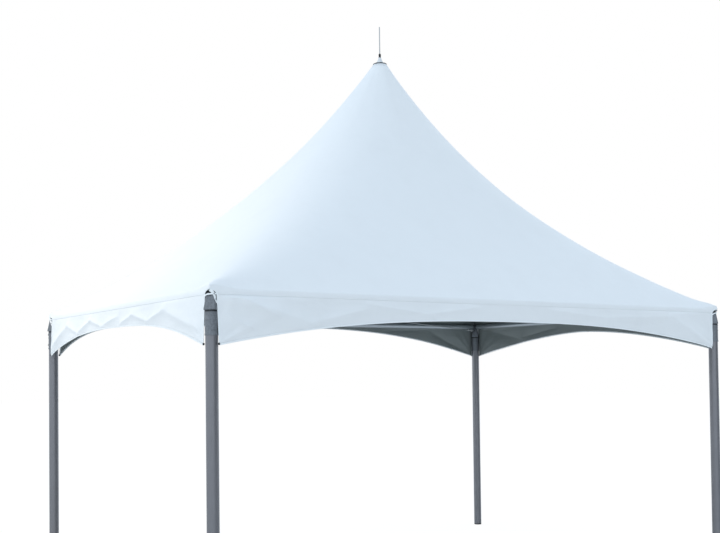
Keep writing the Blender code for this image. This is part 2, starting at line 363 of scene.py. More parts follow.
def material(name):
    """The finish of this name, made on its first use."""
    if name not in MATERIALS:
        look = bpy.context.scene.marquee_look
        makers = {
            "fabric": lambda: coated_fabric("coated_fabric", tuple(look.fabric_colour), 0.05),
            "lining": lambda: coated_fabric("fabric_inside", tuple(look.inside_colour), 0.0),
            "webbing": lambda: woven_webbing("white_webbing", (0.88, 0.92, 0.95)),
            "leg": lambda: drawn_tube("leg_tube", tuple(look.tube_colour), (1, 1, 0.02)),
            "beam_x": lambda: drawn_tube("beam_tube_lengthwise", tuple(look.beam_colour), (0.02, 1, 1)),
            "beam_y": lambda: drawn_tube("beam_tube_crosswise", tuple(look.beam_colour), (1, 0.02, 1)),
            "mast": lambda: drawn_tube("mast_tube", tuple(look.beam_colour), (1, 1, 0.02)),
            "casting": lambda: cast_metal("galvanised_casting", tuple(look.casting_colour)),
            "head": lambda: cast_metal("dark_casting", tinted(look.casting_colour, 0.22)),
            "steel": lambda: drawn_tube("galvanised_steel", (0.50, 0.51, 0.52), (1, 1, 1)),
            "black": lambda: moulded_plastic("black_plastic", (0.03, 0.03, 0.032), 0.55),
            "pale": lambda: moulded_plastic("pale_plastic", (0.70, 0.72, 0.74), 0.35),
        }
        MATERIALS[name] = makers[name]()
    return MATERIALS[name]


def turned(profile, steps=48):
    """Spin a profile of (radius, height) points about Z; one that starts at the axis ends there."""
    bm = bmesh.new()
    verts = [bm.verts.new((reach, 0, height)) for reach, height in profile]
    edges = [bm.edges.new(pair) for pair in zip(verts, verts[1:])]
    if profile[0][0] > 0:
        edges.append(bm.edges.new((verts[-1], verts[0])))
    bmesh.ops.spin(bm, geom=verts + edges, cent=(0, 0, 0), axis=(0, 0, 1),
                   angle=math.tau, steps=steps, use_merge=True)
    bmesh.ops.remove_doubles(bm, verts=bm.verts, dist=1e-6)
    bmesh.ops.recalc_face_normals(bm, faces=bm.faces)
    return bm


def rounded(profile, size=0.002, steps=3):
    """Round the inner corners of a (radius, height) profile with short arcs."""
    points = [Vector(point) for point in profile]
    smooth = [points[0]]
    for before, corner, after in zip(points, points[1:], points[2:]):
        cut = min(size, (before - corner).length * 0.45, (after - corner).length * 0.45)
        start = corner + (before - corner).normalized() * cut
        end = corner + (after - corner).normalized() * cut
        for step in range(steps + 1):
            share = step / steps
            smooth.append(start * (1 - share) ** 2 + corner * 2 * share * (1 - share) + end * share ** 2)
    smooth.append(points[-1])
    return [tuple(point) for point in smooth]


def lay_along(bm, start, end):
    """Move a shape built up along +Z so that it runs from start towards end."""
    turn = (Vector(end) - Vector(start)).to_track_quat("Z", "Y").to_matrix().to_4x4()
    bmesh.ops.transform(bm, matrix=Matrix.Translation(start) @ turn, verts=bm.verts)
    return bm


def moved(bm, offset):
    bmesh.ops.translate(bm, vec=offset, verts=bm.verts)
    return bm


def rod(start, end, thick, steps=24, edge=0.0008):
    """A solid rod with slightly rounded ends; thick is its radius."""
    length = (Vector(end) - Vector(start)).length
    profile = rounded([(0, 0), (thick, 0), (thick, length), (0, length)], edge)
    return lay_along(turned(profile, steps), start, end)


def tube(start, end, thick, wall=WALL, steps=48):
    length = (Vector(end) - Vector(start)).length
    lip = 0.0006
    profile = [(thick - wall, lip), (thick - wall + lip, 0), (thick - lip, 0), (thick, lip),
               (thick, length - lip), (thick - lip, length), (thick - wall + lip, length),
               (thick - wall, length - lip)]
    return lay_along(turned(profile, steps), start, end)


def hex_bolt(start, direction, across=0.013, head=0.006):
    """A hexagon head on its washer, standing on start and pointing along direction."""
    end = Vector(start) + Vector(direction)
    washer = turned(rounded([(0, 0), (across * 0.75, 0), (across * 0.75, 0.0014), (0, 0.0014)], 0.0004), 24)
    corner = across / 2 / math.cos(math.pi / 6)
    top = turned([(0, 0.0014), (corner, 0.0014), (corner, head), (corner * 0.82, head + 0.0008),
                  (0, head + 0.0008)], 6)
    return joined([lay_along(washer, start, end), lay_along(top, start, end)])


def joined(shapes):
    """Gather closed shapes into one bmesh."""
    whole = bmesh.new()
    for bm in shapes:
        mesh = bpy.data.meshes.new("part")
        bm.to_mesh(mesh)
        bm.free()
        whole.from_mesh(mesh)
        bpy.data.meshes.remove(mesh)
    return whole


def marked(bm, slot):
    """Give every face of a shape the material of this slot."""
    for face in bm.faces:
        face.material_index = slot
    return bm


def loft(stations, section):
    """A closed solid along stations of (centre, across, out), with a section of (across, out) points."""
    bm = bmesh.new()
    lengths, rounds = len(stations) - 1, len(section)
    bmesh.ops.create_grid(bm, x_segments=lengths, y_segments=rounds, size=0.5)
    for vert in bm.verts:
        centre, across, out = stations[round((vert.co.x + 0.5) * lengths)]
        wide, deep = section[round((vert.co.y + 0.5) * rounds) % rounds]
        vert.co = centre + across * wide + out * deep
    bmesh.ops.remove_doubles(bm, verts=bm.verts, dist=1e-6)
    bmesh.ops.holes_fill(bm, edges=[edge for edge in bm.edges if edge.is_boundary], sides=0)
    bmesh.ops.recalc_face_normals(bm, faces=bm.faces)
    return bm


def band_section(width, thickness):
    """A flat section with rounded edges."""
    half, deep = width / 2, thickness / 2
    edge = min(half, deep) * 0.7
    return [(-half, -deep + edge), (-half + edge, -deep), (half - edge, -deep), (half, -deep + edge),
            (half, deep - edge), (half - edge, deep), (-half + edge, deep), (-half, deep - edge)]


def band(points, outs, width, thickness, shift=0.0):
    """A flat band along points, facing outs; shift moves it sideways, in metres."""
    stations = []
    for index, (point, out) in enumerate(zip(points, outs)):
        ahead = points[min(index + 1, len(points) - 1)]
        behind = points[max(index - 1, 0)]
        across = Vector(out).cross(ahead - behind).normalized()
        stations.append((point + across * shift, across, Vector(out).normalized()))
    return loft(stations, band_section(width, thickness))


def piece(name, bm, finishes, nodes=(), crease=35):
    """Turn a bmesh into a finished piece that rides on the frame and stands for its solids."""
    mesh = bpy.data.meshes.new(name)
    bm.to_mesh(mesh)
    bm.free()
    mesh.shade_smooth()
    mesh.set_sharp_from_angle(angle=math.radians(crease))
    for finish in finishes:
        mesh.materials.append(material(finish))
    obj = bpy.data.objects.new(name, mesh)
    bpy.context.scene.collection.objects.link(obj)
    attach(obj, "root")
    if nodes:
        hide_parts(*nodes)
    return obj


def corner_point(corner, height=0.0):
    sign_x, sign_y = CORNERS[corner]
    return Vector((sign_x * HALF_X, sign_y * HALF_Y, height))


def diagonal(corner):
    """The level direction out of the tent, halfway between a corner's two sides."""
    return Vector((*CORNERS[corner], 0)).normalized()


def sideways(corner):
    """The level direction to the right for someone who faces the corner from outside."""
    out = diagonal(corner)
    return Vector((-out.y, out.x, 0))


def at_corner(corner, right, out, height):
    return corner_point(corner, height) + sideways(corner) * right + diagonal(corner) * out


def side_sizes(side):
    """Half the length of a side between its legs, and its distance from the centre."""
    return (HALF_X, HALF_Y) if SIDES[side] % 2 == 0 else (HALF_Y, HALF_X)


def turn_to_side(side, point):
    """Turn a point laid out on the front side to the side it belongs to."""
    return Matrix.Rotation(SIDES[side] * math.pi / 2, 3, "Z") @ Vector(point)


def smooth_step(value):
    value = min(1.0, max(0.0, value))
    return value * value * (3 - 2 * value)


def roof_point(side, across, down):
    """A point of the roof: across runs -1 to 1 from hip to hip, down 0 to 1 from peak to eave.

    Each level is a smooth curve with rounded hips, close to an oval at the peak and to the
    rectangle of the beams at the eave.
    """
    half, reach = side_sizes(side)
    spread = math.atan2(half, reach)
    blend = ROUND_SHARE * (1 - down ** ROUND_FADE)
    at_middle = 1 + (ROUND_SIZE - 1) * blend
    at_hip = 1 + (ROUND_SIZE / math.sqrt(2) - 1) * blend
    size = at_middle
    if blend > 1e-6:
        squareness = math.log(2) / math.log(at_middle / at_hip)
        size *= (1 + abs(across) ** squareness) ** (-1 / squareness)
    x = RING_R * math.sin(across * spread) * (1 - down) + down * (half + SHOULDER) * across * size
    y = RING_R * math.cos(across * spread) * (1 - down) + down * (reach + SHOULDER) * size
    fall = math.log((1 + PROFILE_K) / (down + PROFILE_K)) / math.log((1 + PROFILE_K) / PROFILE_K)
    return turn_to_side(side, (x, -y, EAVE_Z + (PEAK_Z - EAVE_Z) * fall))


class Fold:
    """A ridge in a hanging side, between two points given as (metres from a corner, height).

    It falls away softly above its crest, over the first width, and below it, over the second.
    """

    def __init__(self, end, start, finish, height, above, below):
        self.end = end
        self.start = Vector(start)
        self.line = Vector(finish) - self.start
        self.height = height
        self.above = above
        self.below = below

    def lift(self, half, along, height):
        here = Vector((half - self.end * along, height)) - self.start
        share = here.dot(self.line) / self.line.length_squared
        if not 0 < share < 1:
            return 0.0
        beside = (here.y * self.line.x - here.x * self.line.y) / self.line.length
        if self.line.x < 0:
            beside = -beside
        width = self.above if beside > 0 else self.below
        crest = math.exp(0.2 - math.sqrt((beside / width) ** 2 + 0.04))
        return self.height * crest * math.sin(math.pi * share) ** 0.6


FOLDS = {
    "front": (
        Fold(-1, (0.02, 2.125), (0.72, 1.925), 0.034, 0.050, 0.120),
        Fold(-1, (0.05, 2.000), (0.30, 1.880), 0.010, 0.018, 0.035),
        Fold(-1, (0.16, 2.095), (0.42, 1.985), 0.012, 0.022, 0.028),
        Fold(-1, (0.62, 1.945), (1.12, 2.060), 0.014, 0.030, 0.045),
        Fold(-1, (1.05, 2.085), (1.62, 2.020), 0.012, 0.022, 0.032),
        Fold(-1, (1.50, 2.022), (2.02, 2.086), 0.012, 0.022, 0.030),
        Fold(1, (0.07, 1.820), (0.60, 2.075), 0.030, 0.070, 0.050),
        Fold(1, (0.48, 2.070), (1.30, 2.040), 0.014, 0.030, 0.045),
        Fold(1, (1.20, 2.030), (1.90, 2.085), 0.011, 0.025, 0.035),
    ),
    "left": (
        Fold(1, (0.04, 1.900), (0.66, 2.075), 0.026, 0.050, 0.045),
        Fold(1, (0.55, 2.065), (0.92, 1.990), 0.020, 0.026, 0.030),
        Fold(1, (0.86, 1.992), (1.20, 2.066), 0.018, 0.024, 0.026),
        Fold(1, (1.12, 2.062), (1.42, 1.998), 0.015, 0.020, 0.024),
        Fold(-1, (0.06, 1.860), (0.56, 2.060), 0.024, 0.045, 0.040),
        Fold(-1, (0.46, 2.056), (0.80, 1.960), 0.017, 0.024, 0.028),
        Fold(-1, (0.74, 1.975), (1.08, 2.066), 0.018, 0.024, 0.028),
        Fold(-1, (1.00, 2.068), (1.32, 1.996), 0.015, 0.020, 0.024),
        Fold(-1, (1.26, 2.000), (1.64, 2.064), 0.014, 0.020, 0.024),
    ),
    "right": (
        Fold(-1, (0.06, 1.840), (0.60, 2.070), 0.026, 0.050, 0.050),
        Fold(-1, (0.52, 2.070), (1.00, 2.030), 0.013, 0.024, 0.030),
        Fold(1, (0.04, 2.110), (0.70, 1.960), 0.026, 0.045, 0.090),
        Fold(1, (0.70, 1.990), (1.20, 2.075), 0.015, 0.024, 0.030),
    ),
    "back": (
        Fold(-1, (0.06, 1.840), (0.62, 2.090), 0.026, 0.055, 0.050),
        Fold(-1, (0.62, 2.088), (1.20, 2.070), 0.010, 0.020, 0.026),
        Fold(1, (0.03, 2.110), (0.75, 1.980), 0.028, 0.045, 0.090),
        Fold(1, (0.70, 2.000), (1.30, 2.085), 0.013, 0.022, 0.030),
    ),
}


def ripple(side, along, height):
    """How far a hanging side stands out of its plain surface: drag folds and fine wrinkles."""
    half, _ = side_sizes(side)
    seed = SIDES[side] * 7.3
    lift = sum(fold.lift(half, along, height) for fold in FOLDS[side])
    lift *= smooth_step((SKIRT_LOW_Z + 0.002 - height) / 0.020)
    lift += 0.0040 * noise.noise(Vector((along * 1.7, height * 4.0, seed)))
    lift += 0.0016 * noise.noise(Vector((along * 5.0, height * 24.0, seed + 1.0)))
    for end in (-1, 1):
        from_corner = half - end * along
        rise = height - HEM_CORNER_Z + 0.02
        distance = math.hypot(from_corner, rise)
        turn = math.atan2(rise, from_corner + 0.02)
        rays = noise.noise(Vector((turn * 5.5, distance * 1.2, seed + 2.0 * end)))
        lift += 0.0055 * rays * math.exp(-(distance / 0.55) ** 2)
    free = smooth_step((half - abs(along) - 0.01) / 0.10)
    return lift * (0.15 + 0.85 * free)


def hang(side, along, height):
    """How far the fabric hangs outside the beam's axis, before its wrinkles."""
    half, _ = side_sizes(side)
    near = math.exp(-((half - abs(along)) / CORNER_REACH) ** 2)
    fall = (SKIRT_LOW_Z - height) / (SKIRT_LOW_Z - HEM_CORNER_Z)
    fall = min(1.0, max(0.0, fall))
    top = OUT_TOP + (OUT_TOP_CORNER - OUT_TOP) * near
    hem = OUT_HEM + (OUT_HEM_CORNER - OUT_HEM) * near
    return top + (hem - top) * fall


def slot_edge(side, end, fall):
    """Distance from the leg's axis to the fabric's end, by the share of the way down to the hem."""
    top, hem = SLOT[CORNER_OF_END[side][end]]
    return top + (hem - top) * fall


def skirt_point(side, across, share):
    """The roof fabric bent over the beam: share runs 0 to 1 from the shoulder to the skirt's edge."""
    half, reach = side_sizes(side)
    end = 1 if across > 0 else -1
    out_low = hang(side, half * across, SKIRT_LOW_Z)
    bend_out, bend_z = out_low + 0.001, EAVE_Z - 0.006
    here_out = SHOULDER * (1 - share) ** 2 + 2 * bend_out * share * (1 - share) + out_low * share ** 2
    here_z = EAVE_Z * (1 - share) ** 2 + 2 * bend_z * share * (1 - share) + SKIRT_LOW_Z * share ** 2
    open_share = min(1.0, max(0.0, (ARCH_TOP_Z - here_z) / (ARCH_TOP_Z - SKIRT_LOW_Z)))
    opened = math.sqrt(1 - (1 - open_share) ** 2)
    length = half + here_out - (here_out + slot_edge(side, end, 0)) * opened
    along = length * across
    if abs(along) < half:
        here_out += ripple(side, along, here_z) * smooth_step(share)
    return turn_to_side(side, (along, -reach - here_out, here_z))


def hem_height(side, across):
    middle_z, start_power, end_power = HEM[side]
    power = end_power if across > 0 else start_power
    return HEM_CORNER_Z + (middle_z - HEM_CORNER_Z) * (1 - abs(across) ** power)


def valance_point(side, across, fall, inset=0.0):
    """A point of a valance: fall runs 0 to 1 from the skirt's edge to the hem.

    Below 0 it is on the sewn edge, which lies just inside the skirt.
    """
    if fall < 0:
        inward = turn_to_side(side, (0, 1, 0))
        return skirt_point(side, across, 1 + LAP_SHARE * fall) + inward * 0.0012
    half, reach = side_sizes(side)
    end = 1 if across > 0 else -1
    hem = hem_height(side, across)
    height = SKIRT_LOW_Z + (hem - SKIRT_LOW_Z) * fall
    along = (half - slot_edge(side, end, fall)) * across
    out = hang(side, along, height) + ripple(side, along, height) - inset
    return turn_to_side(side, (along, -reach - out, height))


def even_out(position):
    """Spread grid columns from -1 to 1 with more of them near the ends."""
    return 1.35 * position - 0.35 * position ** 3


def roof_ripple(point):
    """How far the roof fabric stands out of its drawn surface."""
    from_axis = math.hypot(point.x, point.y)
    angle = math.atan2(point.y / HALF_Y, point.x / HALF_X)
    round_peak = Vector((math.cos(angle), math.sin(angle), 0))
    pleats = noise.noise(round_peak * 3.6 + Vector((0, 0, from_axis * 0.7 + 5.0)))
    near_peak = math.exp(-((from_axis - 0.42) / 0.42) ** 2)
    broad = noise.noise(point * 0.8) + 0.5 * noise.noise(point * 1.9)
    eave = max(0.0, 1 - (point.z - EAVE_Z) / 0.6)
    creases = noise.noise(Vector((point.x * 2.2, point.y * 2.2, point.z * 9.0)))
    return 0.005 * pleats * near_peak + 0.006 * broad + 0.003 * creases * eave


def corner_lift(point):
    """The fabric is pushed up where it lies on the heads of the corner fittings."""
    distance = math.hypot(abs(point.x) - HALF_X, abs(point.y) - HALF_Y)
    return 0.020 * math.exp(-(distance / 0.11) ** 2) * smooth_step((point.z - ARCH_TOP_Z) / 0.012)


def build_roof(fabric):
    """One continuous skin from the peak ring down over the beams."""
    rows, skirt_rows = 66, 14
    bm = bmesh.new()
    for side in SIDES:
        columns = 96 if SIDES[side] % 2 == 0 else 72
        grid = bmesh.ops.create_grid(bm, x_segments=columns, y_segments=rows + skirt_rows, size=0.5)
        for vert in grid["verts"]:
            across = even_out(2 * vert.co.x)
            row = round((0.5 - vert.co.y) * (rows + skirt_rows))
            if row <= rows:
                vert.co = roof_point(side, across, row / rows)
            else:
                vert.co = skirt_point(side, across, (row - rows) / skirt_rows)
    bmesh.ops.remove_doubles(bm, verts=bm.verts, dist=1e-5)
    bm.normal_update()
    for vert in bm.verts:
        fade = smooth_step((PEAK_Z - vert.co.z) / 0.12) * smooth_step((vert.co.z - EAVE_Z + 0.01) / 0.05)
        lifted = corner_lift(vert.co)
        vert.co += vert.normal * roof_ripple(vert.co) * fade
        vert.co.z += lifted
    cut_area = sum(face.calc_area() for face in bm.faces)
    roof = piece("roof_skin", bm, ("fabric", "lining"),
                 [f"roof_{side}" for side in SIDES], crease=60)
    thicken(roof, fabric.thickness)
    over_peak("front")
    over_peak("left")
    return roof


def over_peak(side):
    """Length of fabric from this side's skirt over the peak to the opposite one."""
    steps = 60
    line = [roof_point(side, 0, step / steps) for step in range(steps)]
    line += [skirt_point(side, 0, step / steps) for step in range(steps + 1)]
    return 2 * sum((after - before).length for before, after in zip(line, line[1:]))


def thicken(cloth, thickness):
    """Give cloth its thickness, with the darker coating on its inner face."""
    solid = cloth.modifiers.new("thickness", "SOLIDIFY")
    solid.thickness = thickness
    solid.offset = -1.0
    solid.material_offset = 1


def build_valance(side, fabric):
    """A hanging strip with its hem folded into a white binding."""
    columns = 320 if SIDES[side] % 2 == 0 else 240
    sewn, rows = (-1.0, -0.6, -0.3, -0.03), 30
    falls = [*sewn, *(row / rows for row in range(rows + 1))]
    bm = bmesh.new()
    bmesh.ops.create_grid(bm, x_segments=columns, y_segments=len(falls) - 1, size=0.5)
    for vert in bm.verts:
        fall = falls[round((0.5 - vert.co.y) * (len(falls) - 1))]
        vert.co = valance_point(side, even_out(2 * vert.co.x), fall)
    cloth = piece(f"valance_{side}_skin", bm, ("fabric", "lining"), [f"valance_{side}"])
    thicken(cloth, fabric.thickness)
    binding = build_hem_binding(side, fabric)
    tall = SKIRT_LOW_Z + LAP - HEM_CORNER_Z
    return cloth


def build_hem_binding(side, fabric):
    """The folded edge along the bottom of a valance."""
    steps = 200
    out = turn_to_side(side, (0, -1, 0))
    hem = [valance_point(side, even_out(2 * step / steps - 1), 1, fabric.thickness / 2)
           for step in range(steps + 1)]
    bm = band(hem, [out] * len(hem), fabric.binding, 0.0026, -fabric.binding * 0.4)
    return piece(f"hem_binding_{side}", bm, ("webbing",))


class MarqueeLook(bpy.types.PropertyGroup):
    """Colours of the marquee's materials."""

    fabric_colour: FloatVectorProperty(name="Fabric", description="Outer face of the fabric",
                                       subtype="COLOR", size=3, min=0, max=1, default=(0.84, 0.87, 0.90))
    inside_colour: FloatVectorProperty(name="Inside", description="Inner face of the fabric",
                                       subtype="COLOR", size=3, min=0, max=1, default=(0.22, 0.245, 0.245))
    tube_colour: FloatVectorProperty(name="Legs", description="Satin tube of the legs",
                                     subtype="COLOR", size=3, min=0, max=1, default=(0.24, 0.24, 0.26))
    beam_colour: FloatVectorProperty(name="Beams", description="Mill-finish tube of the beams and mast",
                                     subtype="COLOR", size=3, min=0, max=1, default=(0.55, 0.59, 0.63))
    casting_colour: FloatVectorProperty(name="Castings", description="Galvanised corner fittings",
                                        subtype="COLOR", size=3, min=0, max=1, default=(0.13, 0.14, 0.155))


class MarqueeFabric(bpy.types.PropertyGroup):
    """Sizes of the fabric's pieces."""

    thickness: FloatProperty(name="Thickness", description="Thickness of the fabric",
                             unit="LENGTH", precision=4, default=0.0009)
    binding: FloatProperty(name="Binding", description="Width of the white binding along the edges",
                           unit="LENGTH", precision=4, default=0.010)
    strap: FloatProperty(name="Strap", description="Width of the strap across each corner opening",
                         unit="LENGTH", precision=4, default=0.009)
    tongue: FloatProperty(name="Tongue", description="Width of the riveted tongue at each corner opening",
                          unit="LENGTH", precision=4, default=0.017)
    toggle: FloatProperty(name="Toggle", description="Diameter of the black toggles at the hems' corners",
                          unit="LENGTH", precision=4, default=0.012)


class MarqueeStage(bpy.types.PropertyGroup):
    """The floor, lights and camera."""

    eye_distance: FloatProperty(name="Eye distance", unit="LENGTH", default=8.412,
                                description="Level distance from the centre of the tent")
    eye_height: FloatProperty(name="Eye height", description="Height of the camera above the ground",
                              unit="LENGTH", default=1.639)
    eye_bearing: FloatProperty(name="Eye bearing", description="Direction of the camera from the centre",
                               subtype="ANGLE", default=math.radians(-124.995))
    lens: FloatProperty(name="Lens", description="Focal length in millimetres", default=50.5)
    softbox: FloatProperty(name="Softbox", description="Power of the softbox over the left side, in watts",
                           default=33.0)
    sky_top: FloatVectorProperty(name="Sky above", description="Light from overhead", subtype="COLOR",
                                 size=3, min=0, max=4, default=(0.72, 0.85, 0.98))
    sky_level: FloatVectorProperty(name="Sky at the horizon", description="Light from the horizon",
                                   subtype="COLOR", size=3, min=0, max=4, default=(1.30, 1.40, 1.48))
    card_bearing: FloatProperty(name="Card bearing", description="Direction of the dark card from the tent",
                                subtype="ANGLE", default=math.radians(-50))


def build_corner_trim(corner, fabric):
    """White binding round a corner's opening, the strap and riveted tongue in it, and two toggles."""
    points, outs = opening_path(corner)
    shapes = [band(points, outs, fabric.binding, 0.0028, fabric.binding * 0.4)]
    shapes.append(corner_strap(corner, fabric))
    shapes.append(corner_tongue(corner, fabric))
    piece(f"corner_trim_{corner}", joined(shapes), ("webbing",))
    rivets = [marked(corner_rivet(corner, share), 0) for share in (0.42, 0.74)]
    toggles = [marked(hem_toggle(points[end], outs[end], fabric), 1) for end in (0, -1)]
    piece(f"corner_buttons_{corner}", joined(rivets + toggles), ("casting", "black"))


def opening_path(corner):
    """Up one edge of a corner's opening, over its arch and down the other, with outward directions."""
    before = next(side for side in SIDES if CORNER_OF_END[side][1] == corner)
    after = next(side for side in SIDES if CORNER_OF_END[side][-1] == corner)
    rows, arch_rows = 16, 12
    path = [(before, 1, valance_point, 1 - step / rows) for step in range(rows)]
    path += [(before, 1, skirt_point, 1 - step / arch_rows) for step in range(arch_rows)]
    path += [(after, -1, skirt_point, (step + 1) / arch_rows) for step in range(arch_rows)]
    path += [(after, -1, valance_point, (step + 1) / rows) for step in range(rows)]
    top = at_corner(corner, 0, OUT_TOP_CORNER * math.sqrt(2), ARCH_TOP_Z)
    points, outs = [], []
    for side, end, place, share in path:
        point = place(side, end, share)
        if point.z > ARCH_TOP_Z + 0.0005 or (points and (point - points[-1]).length < 0.002):
            continue
        round_top = max(0.0, 1 - (point - top).length / 0.04)
        out = turn_to_side(side, (0, -1, 0)) * (1 - round_top) + diagonal(corner) * round_top
        points.append(point)
        outs.append(out.normalized())
    return points, outs


def curve_through(points, steps=8):
    """A smooth path through given points."""
    path = []
    padded = [points[0] * 2 - points[1], *points, points[-1] * 2 - points[-2]]
    for before, start, end, after in zip(padded, padded[1:], padded[2:], padded[3:]):
        for step in range(steps):
            t = step / steps
            path.append(0.5 * (2 * start + (end - before) * t
                               + (2 * before - 5 * start + 4 * end - after) * t ** 2
                               + (3 * start - before - 3 * end + after) * t ** 3))
    return path + [points[-1]]


def facing_out(corner, points):
    """Directions from a leg's axis out through each point."""
    axis = corner_point(corner)
    return [Vector((point.x - axis.x, point.y - axis.y, 0)).normalized() for point in points]


def in_opening(corner, place):
    """A point laid out for the near corner's opening as (right, out, height), fitted to this corner's."""
    right, out, height = place
    near, here = SLOT["front_left"][0], SLOT[corner][0]
    share = right * math.sqrt(2) / (near + OUT_TOP_CORNER)
    wider = (here - near) / math.sqrt(2)
    return at_corner(corner, right + share * wider, out - abs(share) * wider, height)


def corner_strap(corner, fabric):
    """A narrow strap laid across the dark head of the fitting."""
    route = [(-0.039, 0.008, 2.090), (-0.031, 0.022, 2.102), (-0.014, 0.035, 2.108), (0.006, 0.037, 2.110),
             (0.024, 0.029, 2.112), (0.036, 0.014, 2.112)]
    path = curve_through([in_opening(corner, place) for place in route])
    return band(path, facing_out(corner, path), fabric.strap, 0.0016)


def tongue_path(corner):
    route = [(0.004, 0.040, 2.134), (0.018, 0.034, 2.122), (0.027, 0.026, 2.102), (0.031, 0.020, 2.080),
             (0.037, 0.013, 2.058)]
    return curve_through([in_opening(corner, place) for place in route])


def corner_tongue(corner, fabric):
    """A short tongue that hangs from the top of the opening and is riveted to its right edge."""
    path = tongue_path(corner)
    outs = facing_out(corner, path)
    stations = []
    for index, (point, out) in enumerate(zip(path, outs)):
        ahead = path[min(index + 1, len(path) - 1)]
        behind = path[max(index - 1, 0)]
        across = out.cross(ahead - behind).normalized()
        narrowing = 1 - 0.55 * (index / (len(path) - 1)) ** 2
        stations.append((point, across * narrowing, out))
    return loft(stations, band_section(fabric.tongue, 0.0020))


def corner_rivet(corner, share):
    path = tongue_path(corner)
    place = path[round(share * (len(path) - 1))] + sideways(corner) * 0.003
    out = facing_out(corner, [place])[0]
    start = place + out * 0.0008
    profile = [(0, 0), (0.0034, 0), (0.0034, 0.0008), (0.0022, 0.0020), (0, 0.0022)]
    return lay_along(turned(rounded(profile, 0.0005), 20), start, start + out)


def hem_toggle(place, out, fabric):
    """A small black barrel sewn to the end of a hem."""
    size = fabric.toggle / 2
    profile = [(0, 0), (size * 0.75, 0), (size, size * 0.5), (size, size * 1.8), (size * 0.75, size * 2.3),
               (0, size * 2.3)]
    low = place - out * 0.001 - Vector((0, 0, size * 1.1))
    return lay_along(turned(rounded(profile, 0.0015), 24), low, low + Vector((0, 0, 1)))


def build_leg(corner):
    axis_low = corner_point(corner, LEG_LOW_Z)
    bm = tube(axis_low, corner_point(corner, LEG_TOP_Z), LEG_R, steps=64)
    return piece(f"leg_{corner}_tube", bm, ("leg",), [f"leg_{corner}"])


def build_foot(corner):
    """The plug in the tube, with a rounded rim to stand on."""
    stem = LEG_R - WALL - 0.0004
    rim_top = LEG_LOW_Z - 0.0003
    profile = rounded([(0, 0), (LEG_R, 0), (LEG_R, rim_top), (stem, rim_top), (stem, CAP_TOP_Z),
                       (0, CAP_TOP_Z)], 0.003)
    bm = moved(turned(profile, 64), corner_point(corner))
    return piece(f"foot_{corner}", bm, ("black",), [f"foot_cap_{corner}"])


def fitting_block(corner):
    """The tapered block with a broad face on each diagonal."""
    low, high, half = LEG_TOP_Z + 0.0006, BLOCK_TOP_Z, BLOCK_HALF
    bm = bmesh.new()
    bmesh.ops.create_cube(bm, size=1.0)
    bmesh.ops.scale(bm, vec=(2 * half, 2 * half, high - low), verts=bm.verts)
    uprights = [edge for edge in bm.edges if abs(edge.verts[0].co.z - edge.verts[1].co.z) > 0.01]
    bmesh.ops.bevel(bm, geom=uprights, offset=0.014, segments=4, affect="EDGES", profile=0.5, material=-1)
    for vert in bm.verts:
        if vert.co.z > 0:
            vert.co.x *= BLOCK_TAPER
            vert.co.y *= BLOCK_TAPER
    rims = [edge for edge in bm.edges if abs(edge.verts[0].co.z - edge.verts[1].co.z) < 0.001]
    bmesh.ops.bevel(bm, geom=rims, offset=0.003, segments=3, affect="EDGES", profile=0.5, material=-1)
    bmesh.ops.rotate(bm, cent=(0, 0, 0), matrix=Matrix.Rotation(math.pi / 4, 3, "Z"), verts=bm.verts)
    bmesh.ops.translate(bm, vec=(0, 0, (low + high) / 2), verts=bm.verts)
    return moved(bm, corner_point(corner))


def fitting_sleeve(corner):
    """The sleeve round the leg, with a raised band and a rolled edge at each end."""
    outer, inner = SLEEVE_R, SLEEVE_R - 0.0016
    bore = LEG_R + 0.0003
    top = LEG_TOP_Z - 0.010
    profile = [(bore, SLEEVE_LOW_Z), (outer, SLEEVE_LOW_Z), (outer, SLEEVE_LOW_Z + 0.010),
               (inner, SLEEVE_LOW_Z + 0.013), (inner, SLEEVE_BAND_Z - 0.005), (outer, SLEEVE_BAND_Z - 0.003),
               (outer, SLEEVE_BAND_Z + 0.003), (inner, SLEEVE_BAND_Z + 0.005), (inner, top - 0.008),
               (outer, top - 0.006), (outer, top), (bore, top)]
    return moved(turned(rounded(profile, 0.0008), 64), corner_point(corner))


def fitting_head(corner):
    """The dark rounded head, and the dark seal between the sleeve and the block."""
    head = [(0, 2.100), (0.0265, 2.100), (0.0262, 2.112), (0.0235, 2.128), (0.0160, 2.141),
            (0.0070, HEAD_Z - 0.001), (0, HEAD_Z)]
    low, bore, outer = LEG_TOP_Z - 0.0097, LEG_R + 0.0003, 0.0392
    seal = [(bore, low), (outer, low), (outer, LEG_TOP_Z), (bore, LEG_TOP_Z)]
    return [moved(turned(rounded(head, 0.004), 48), corner_point(corner)),
            moved(turned(rounded(seal, 0.001), 48), corner_point(corner))]


def fitting_spigot(corner, direction):
    """The stub that carries one beam, with the bolt under that beam."""
    fit = BEAM_R - WALL - 0.0004
    collar = BEAM_R + 0.0006
    start = corner_point(corner, BEAM_Z)
    profile = [(0, 0.012), (collar, 0.012), (collar, BEAM_GAP - 0.0004), (fit, BEAM_GAP - 0.0004),
               (fit, BEAM_GAP + 0.12), (0, BEAM_GAP + 0.12)]
    stub = lay_along(turned(rounded(profile, 0.001), 40), start, start + direction)
    bolt_place = start + direction * 0.085 - Vector((0, 0, BEAM_R - 0.0002))
    return [stub, hex_bolt(bolt_place, (0, 0, -1), 0.012, 0.005)]


